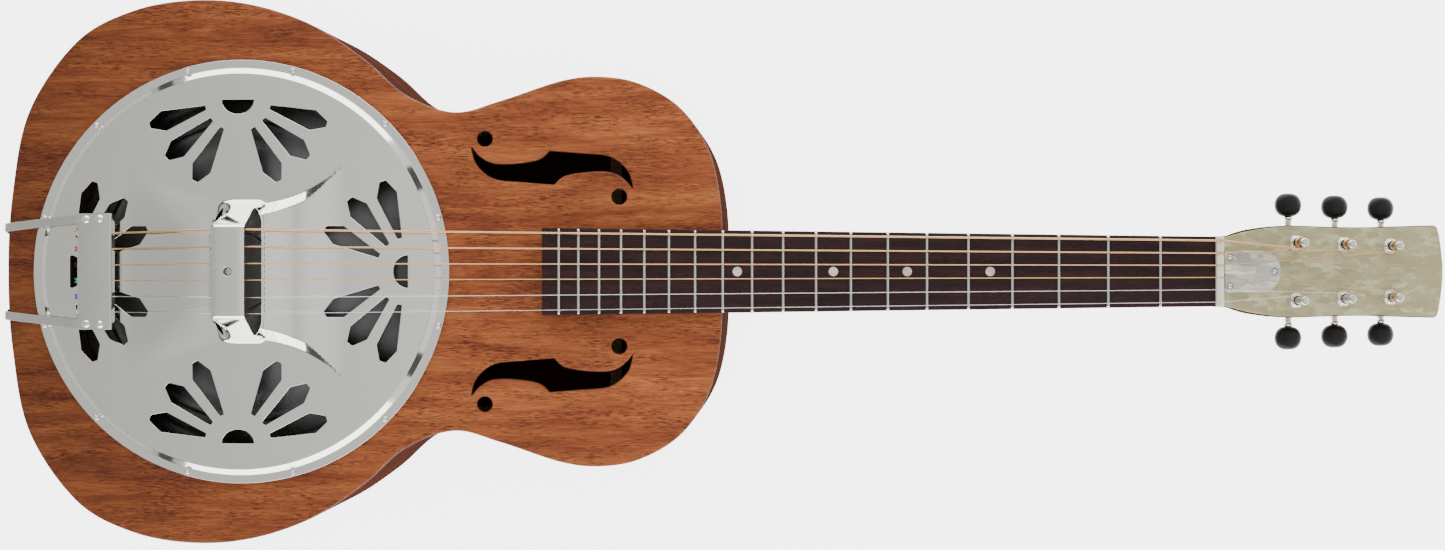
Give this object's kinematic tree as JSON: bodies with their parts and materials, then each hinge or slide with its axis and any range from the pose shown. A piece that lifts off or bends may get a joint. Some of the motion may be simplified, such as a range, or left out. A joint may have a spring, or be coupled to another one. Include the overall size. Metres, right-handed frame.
{
  "type": "resonator guitar",
  "caption": "Wooden-bodied acoustic guitar with a spun aluminium resonator cone under a pierced round metal cover plate, open-gear tuners and trapeze tailpiece.",
  "frame": {"origin": "on the flat back of the body, straight under the bridge saddle, on the centreline", "axes": "+X from the saddle to the headstock, +Y to the bass-string side, +Z out of the top, with the guitar lying on its back"},
  "size_m": [0.9698, 0.3592, 0.1292],
  "materials": {
    "mahogany_top": "satin",
    "mahogany_dark": "satin",
    "inner_wood": "raw",
    "rosewood": "oiled",
    "bone": "polished",
    "maple": "satin",
    "ebonised_maple": "satin",
    "spun_aluminium": "spun",
    "nickel": "polished nickel",
    "steel": "bright",
    "bronze": "wound",
    "cream_pearloid": "pearloid",
    "white_pearloid": "pearloid",
    "black_plastic": "satin"
  },
  "bodies": {
    "root": {"back_lining": "inner_wood", "bass_tail_strap": "nickel", "biscuit_screw": "steel", "body_back": "mahogany_dark", "body_sides": "mahogany_dark", "body_top": "mahogany_top", "bridge_biscuit": "ebonised_maple", "bridge_saddle": "maple", "cover_plate": "nickel", "end_pin": "nickel", "fingerboard": "rosewood", "fingerboard_wedge": "mahogany_dark", "headstock_veneer": "cream_pearloid", "lower_back_brace": "inner_wood", "neck": "mahogany_dark", "neck_block": "inner_wood", "nut": "bone", "resonator_cone": "spun_aluminium", "soundwell_ring": "inner_wood", "string_a": "bronze", "string_b": "steel", "string_d": "bronze", "string_e_high": "steel", "string_e_low": "bronze", "string_g": "bronze", "tail_block": "inner_wood", "tailpiece_bracket": "nickel", "tailpiece_crossbar": "nickel", "top_brace": "inner_wood", "top_lining": "inner_wood", "treble_tail_strap": "nickel", "truss_rod": "steel", "truss_rod_cover": "white_pearloid", "tuner_plate_a": "nickel", "tuner_plate_b": "nickel", "tuner_plate_d": "nickel", "tuner_plate_e_high": "nickel", "tuner_plate_e_low": "nickel", "tuner_plate_g": "nickel", "upper_back_brace": "inner_wood"},
    "key_e_low": {"worm_shaft_e_low": "nickel", "tuner_button_e_low": "black_plastic"},
    "post_e_low": {"string_post_e_low": "nickel"},
    "key_a": {"worm_shaft_a": "nickel", "tuner_button_a": "black_plastic"},
    "post_a": {"string_post_a": "nickel"},
    "key_d": {"worm_shaft_d": "nickel", "tuner_button_d": "black_plastic"},
    "post_d": {"string_post_d": "nickel"},
    "key_g": {"worm_shaft_g": "nickel", "tuner_button_g": "black_plastic"},
    "post_g": {"string_post_g": "nickel"},
    "key_b": {"worm_shaft_b": "nickel", "tuner_button_b": "black_plastic"},
    "post_b": {"string_post_b": "nickel"},
    "key_e_high": {"worm_shaft_e_high": "nickel", "tuner_button_e_high": "black_plastic"},
    "post_e_high": {"string_post_e_high": "nickel"}
  },
  "joints": [
    {"name": "key_e_low_turn", "type": "hinge", "parent": "root", "child": "key_e_low", "pos_m": [0.69091, 0.01885, 0.04585], "axis": [0, 1, 0], "continuous": true},
    {"name": "post_e_low_turn", "type": "hinge", "parent": "root", "child": "post_e_low", "pos_m": [0.68464, 0.01885, 0.04756], "axis": [0.2639, 0, 0.9646], "continuous": true},
    {"name": "key_a_turn", "type": "hinge", "parent": "root", "child": "key_a", "pos_m": [0.72419, 0.01785, 0.03674], "axis": [0, 1, 0], "continuous": true},
    {"name": "post_a_turn", "type": "hinge", "parent": "root", "child": "post_a", "pos_m": [0.71792, 0.01785, 0.03846], "axis": [0.2639, 0, 0.9646], "continuous": true},
    {"name": "key_d_turn", "type": "hinge", "parent": "root", "child": "key_d", "pos_m": [0.75766, 0.01705, 0.02759], "axis": [0, 1, 0], "continuous": true},
    {"name": "post_d_turn", "type": "hinge", "parent": "root", "child": "post_d", "pos_m": [0.75139, 0.01705, 0.0293], "axis": [0.2639, 0, 0.9646], "continuous": true},
    {"name": "key_g_turn", "type": "hinge", "parent": "root", "child": "key_g", "pos_m": [0.75766, -0.01705, 0.02759], "axis": [0, -1, 0], "continuous": true},
    {"name": "post_g_turn", "type": "hinge", "parent": "root", "child": "post_g", "pos_m": [0.75139, -0.01705, 0.0293], "axis": [0.2639, 0, 0.9646], "continuous": true},
    {"name": "key_b_turn", "type": "hinge", "parent": "root", "child": "key_b", "pos_m": [0.72419, -0.01785, 0.03674], "axis": [0, -1, 0], "continuous": true},
    {"name": "post_b_turn", "type": "hinge", "parent": "root", "child": "post_b", "pos_m": [0.71792, -0.01785, 0.03846], "axis": [0.2639, 0, 0.9646], "continuous": true},
    {"name": "key_e_high_turn", "type": "hinge", "parent": "root", "child": "key_e_high", "pos_m": [0.69091, -0.01885, 0.04585], "axis": [0, -1, 0], "continuous": true},
    {"name": "post_e_high_turn", "type": "hinge", "parent": "root", "child": "post_e_high", "pos_m": [0.68464, -0.01885, 0.04756], "axis": [0.2639, 0, 0.9646], "continuous": true}
  ],
  "couplings": [
    {"joint": "post_e_low_turn", "follows": "key_e_low_turn", "ratio": -0.071429},
    {"joint": "post_a_turn", "follows": "key_a_turn", "ratio": -0.071429},
    {"joint": "post_d_turn", "follows": "key_d_turn", "ratio": -0.071429},
    {"joint": "post_g_turn", "follows": "key_g_turn", "ratio": 0.071429},
    {"joint": "post_b_turn", "follows": "key_b_turn", "ratio": 0.071429},
    {"joint": "post_e_high_turn", "follows": "key_e_high_turn", "ratio": 0.071429}
  ]
}
